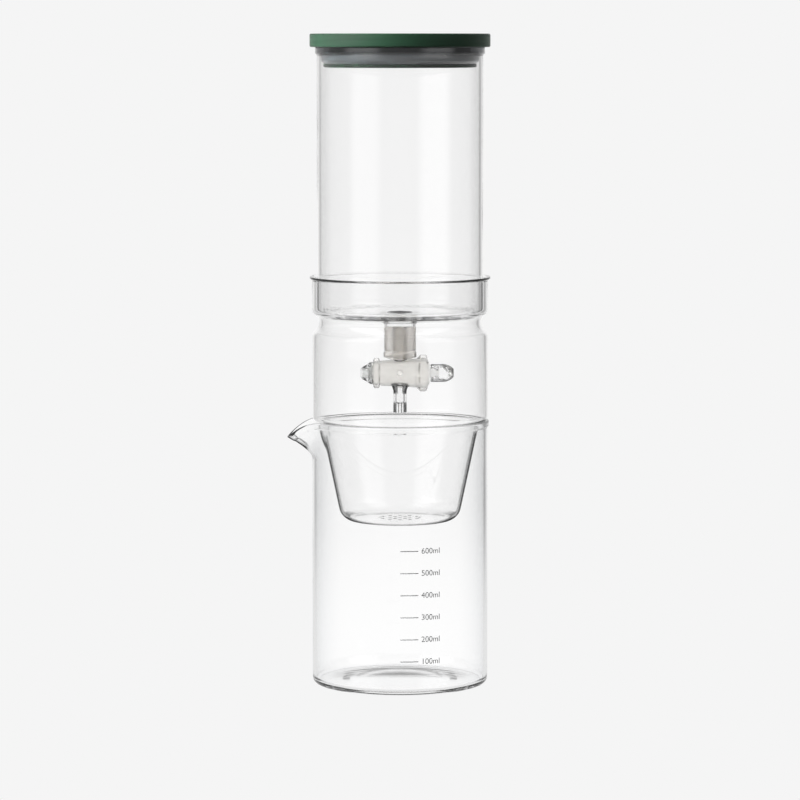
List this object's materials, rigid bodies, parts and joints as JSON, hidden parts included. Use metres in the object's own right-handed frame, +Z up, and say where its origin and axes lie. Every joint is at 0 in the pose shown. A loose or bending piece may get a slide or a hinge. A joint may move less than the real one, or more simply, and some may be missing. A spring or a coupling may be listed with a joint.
{
  "type": "cold drip coffee maker",
  "caption": "Tall cold drip coffee maker: glass water tank with a stopcock over a glass brew chamber, in a spouted glass carafe, under a green lid.",
  "frame": {"origin": "centre of the carafe's foot, on the axis of the stack", "axes": "+Z up the stack, -X along the carafe's spout, +X along the valve's key to its knob"},
  "size_m": [0.1125, 0.1, 0.36],
  "materials": {
    "clear_glass": "polished clear borosilicate",
    "frosted_glass": "ground, frosted",
    "clear_plastic": "clear, moulded",
    "white_slip_plastic": "waxy, smooth",
    "stopper_silicone": "warm grey, moulded, satin",
    "seal_silicone": "translucent grey, moulded, satin",
    "green_plastic": "satin dark green, moulded"
  },
  "bodies": {
    "carafe": {"carafe": "clear_glass"},
    "brew_chamber": {"brew_chamber": "clear_glass"},
    "water_tank": {"water_tank": "clear_glass", "neck_stopper": "stopper_silicone", "valve_barrel": "frosted_glass", "inlet_tube": "clear_glass", "drip_tube": "clear_glass", "drip_tip": "clear_glass"},
    "valve_key": {"valve_key": "frosted_glass", "valve_knob": "clear_glass", "retainer_washer": "white_slip_plastic", "retainer_o_ring": "seal_silicone", "key_retainer": "clear_plastic"},
    "lid": {"lid_cap": "green_plastic", "lid_plug": "green_plastic", "lid_seal": "seal_silicone"}
  },
  "joints": [
    {"name": "chamber_lift", "type": "slide", "parent": "carafe", "child": "brew_chamber", "axis": [0, 0, 1], "range_m": [0, 0.075]},
    {"name": "tank_lift", "type": "slide", "parent": "brew_chamber", "child": "water_tank", "axis": [0, 0, 1], "range_m": [0, 0.09]},
    {"name": "lid_lift", "type": "slide", "parent": "water_tank", "child": "lid", "axis": [0, 0, 1], "range_m": [0, 0.04]},
    {"name": "valve_turn", "type": "hinge", "parent": "water_tank", "child": "valve_key", "pos_m": [0, 0, 0.17335], "axis": [1, 0, 0], "continuous": true}
  ]
}
